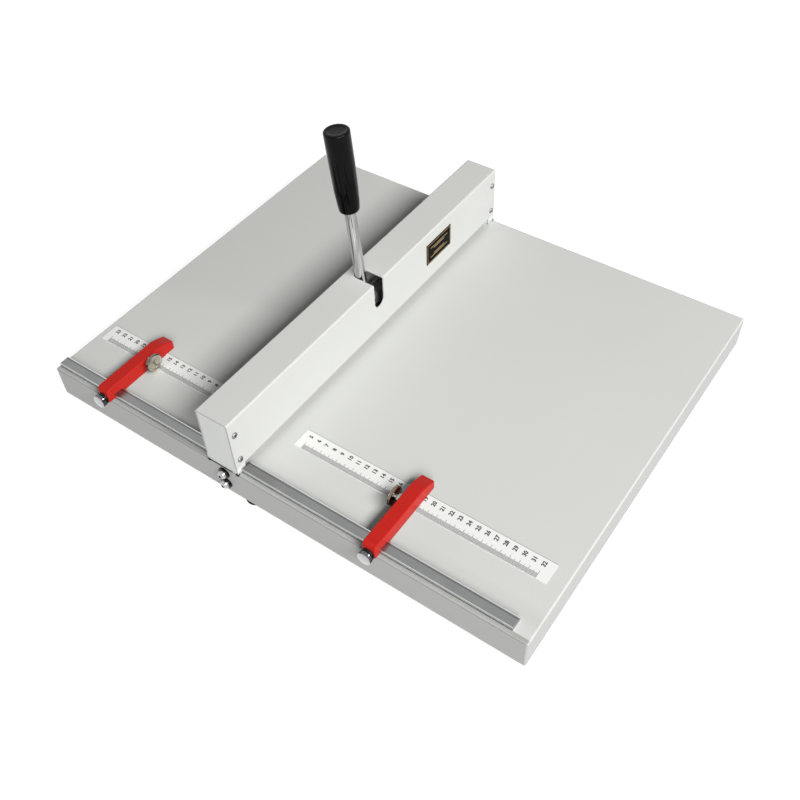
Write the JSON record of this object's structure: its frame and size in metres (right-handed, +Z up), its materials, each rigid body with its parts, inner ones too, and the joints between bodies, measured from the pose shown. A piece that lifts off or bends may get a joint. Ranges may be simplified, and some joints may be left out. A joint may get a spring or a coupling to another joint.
{
  "type": "desktop paper creasing machine",
  "caption": "Desktop paper creasing machine: a lever on a bridge presses a long blade onto a grooved bar set in a flat table, with ruled gauge stops that slide on side rails.",
  "frame": {"origin": "on the bench, under the middle of the crease line", "axes": "+X along the long front table towards the operator, +Y to the operator's right along the crease line, +Z up"},
  "size_m": [0.595, 0.5015, 0.2935],
  "materials": {
    "white_enamel": "semi-gloss powder coat",
    "zinc_sheet": "zinc plated sheet",
    "tool_steel": "machined, lightly oiled",
    "ground_steel": "ground",
    "black_screws": "black oxide",
    "zinc_screws": "zinc plated",
    "spring_steel": "drawn wire",
    "bush_bronze": "sintered bronze",
    "bolt_chrome": "polished plating",
    "black_washers": "black oxide, satin",
    "cover_screw_steel": "nickel plated",
    "lever_chrome": "polished plating",
    "grip_plastic": "glossy black",
    "rail_steel": "polished bar",
    "red_enamel": "semi-gloss enamel",
    "clamp_chrome": "polished plating",
    "stop_metal": "nickel plated, turned face",
    "stud_steel": "plated",
    "ruler_film": "satin film",
    "badge_black": "black plate with a thin gold border",
    "foot_rubber": "matt black"
  },
  "bodies": {
    "base": {"badge_plate": "badge_black", "base_pan": "white_enamel", "bracket_screws": "black_screws", "bridge_cover": "white_enamel", "cover_screws": "cover_screw_steel", "die_bar": "tool_steel", "die_screws": "black_screws", "foot_screws": "zinc_screws", "front_rail": "rail_steel", "front_ruler": "ruler_film", "left_bolt_washers": "black_washers", "left_bush": "bush_bronze", "left_end_plate": "white_enamel", "left_front_foot": "foot_rubber", "left_middle_foot": "foot_rubber", "left_plate_bolts": "bolt_chrome", "left_rear_foot": "foot_rubber", "left_return_spring": "spring_steel", "left_spring_bracket": "zinc_sheet", "rail_screws": "zinc_screws", "rear_rail": "rail_steel", "rear_ruler": "ruler_film", "right_bolt_washers": "black_washers", "right_bush": "bush_bronze", "right_end_plate": "white_enamel", "right_front_foot": "foot_rubber", "right_middle_foot": "foot_rubber", "right_plate_bolts": "bolt_chrome", "right_rear_foot": "foot_rubber", "right_return_spring": "spring_steel", "right_spring_bracket": "zinc_sheet", "under_channel": "zinc_sheet"},
    "lever": {"cross_shaft": "ground_steel", "shaft_pins": "ground_steel", "left_cam": "tool_steel", "right_cam": "tool_steel", "lever_hub": "tool_steel", "lever_rod": "lever_chrome", "lever_grip": "grip_plastic"},
    "press": {"blade_beam": "tool_steel", "creasing_blade": "tool_steel", "blade_clamp_strip": "tool_steel", "blade_screws": "black_screws", "left_cam_pad": "tool_steel", "right_cam_pad": "tool_steel", "left_lift_rod": "ground_steel", "right_lift_rod": "ground_steel"},
    "front_gauge": {"front_gauge_arm": "red_enamel", "front_lock_nut": "stud_steel"},
    "front_clamp": {"front_clamp_screw": "clamp_chrome", "front_clamp_collar": "black_washers"},
    "front_stud": {"front_stop_stud": "stud_steel"},
    "front_disc": {"front_stop_disc": "stop_metal"},
    "rear_gauge": {"rear_gauge_arm": "red_enamel", "rear_lock_nut": "stud_steel"},
    "rear_clamp": {"rear_clamp_screw": "clamp_chrome", "rear_clamp_collar": "black_washers"},
    "rear_stud": {"rear_stop_stud": "stud_steel"},
    "rear_disc": {"rear_stop_disc": "stop_metal"}
  },
  "joints": [
    {"name": "lever_turn", "type": "hinge", "parent": "base", "child": "lever", "pos_m": [0, 0, 0.088], "axis": [0, 1, 0], "range_deg": [0, 80]},
    {"name": "blade_press", "type": "slide", "parent": "base", "child": "press", "axis": [0, 0, -1], "range_m": [0, 0.007], "stiffness_N_per_m": 4000, "springref_m": -0.008, "deforming": ["left_return_spring", "right_return_spring"]},
    {"name": "front_gauge_slide", "type": "slide", "parent": "base", "child": "front_gauge", "axis": [1, 0, 0], "range_m": [-0.141, 0.137]},
    {"name": "front_clamp_turn", "type": "hinge", "parent": "front_gauge", "child": "front_clamp", "pos_m": [0.18195, -0.24755, 0.05], "axis": [0, 1, 0], "range_deg": [-180, 0]},
    {"name": "front_stop_feed", "type": "slide", "parent": "front_gauge", "child": "front_stud", "axis": [-1, 0, 0], "range_m": [-0.0018, 0.003]},
    {"name": "front_disc_turn", "type": "hinge", "parent": "front_stud", "child": "front_disc", "pos_m": [0.1675, -0.182, 0.0575], "axis": [-1, 0, 0], "range_deg": [-648, 1080]},
    {"name": "rear_gauge_slide", "type": "slide", "parent": "base", "child": "rear_gauge", "axis": [1, 0, 0], "range_m": [-0.07, 0.125]},
    {"name": "rear_clamp_turn", "type": "hinge", "parent": "rear_gauge", "child": "rear_clamp", "pos_m": [-0.16585, -0.24755, 0.05], "axis": [0, 1, 0], "range_deg": [-180, 0]},
    {"name": "rear_stop_feed", "type": "slide", "parent": "rear_gauge", "child": "rear_stud", "axis": [1, 0, 0], "range_m": [-0.0018, 0.003]},
    {"name": "rear_disc_turn", "type": "hinge", "parent": "rear_stud", "child": "rear_disc", "pos_m": [-0.1514, -0.182, 0.0575], "axis": [1, 0, 0], "range_deg": [-648, 1080]}
  ],
  "couplings": [
    {"joint": "blade_press", "follows": "lever_turn", "m_per_rad": 0.0050133},
    {"joint": "front_disc_turn", "follows": "front_stop_feed", "rad_per_m": 6283.2},
    {"joint": "rear_disc_turn", "follows": "rear_stop_feed", "rad_per_m": 6283.2}
  ]
}
